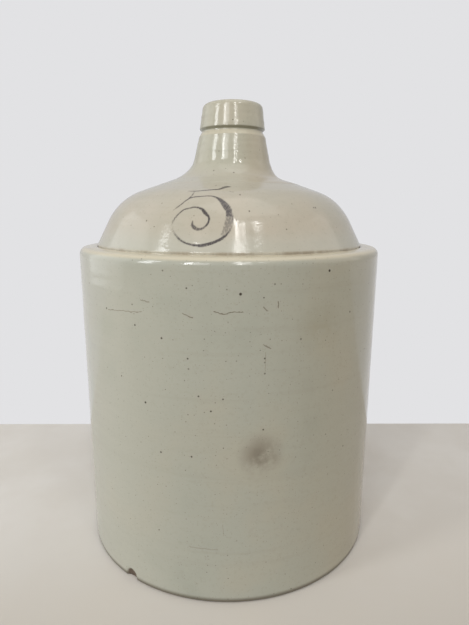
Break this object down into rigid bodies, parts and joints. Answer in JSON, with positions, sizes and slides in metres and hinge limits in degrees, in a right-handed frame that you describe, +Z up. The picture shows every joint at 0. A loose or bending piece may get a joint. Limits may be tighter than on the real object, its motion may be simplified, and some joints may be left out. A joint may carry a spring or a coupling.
{
  "type": "stoneware shoulder jug",
  "caption": "Large stoneware shoulder jug for fermenting and storing wine or cider: straight body, domed shoulder, narrow collared neck and a strap handle.",
  "frame": {"origin": "centre of the jug's foot, on the surface that it stands on", "axes": "+Z up along the jug's axis, -Y towards the side with the capacity mark, +Y towards the handle"},
  "size_m": [0.295, 0.295, 0.431],
  "materials": {
    "body_glaze": "glossy translucent feldspathic glaze over light grey stoneware, with iron specks",
    "dome_glaze": "glossy translucent feldspathic glaze over light grey stoneware, with iron specks",
    "neck_glaze": "glossy translucent feldspathic glaze over light grey stoneware, with iron specks",
    "handle_glaze": "glossy translucent feldspathic glaze over light grey stoneware, with iron specks"
  },
  "bodies": {
    "root": {"jug_body": "body_glaze", "shoulder_dome": "dome_glaze", "neck_spout": "neck_glaze", "strap_handle": "handle_glaze"}
  },
  "joints": []
}
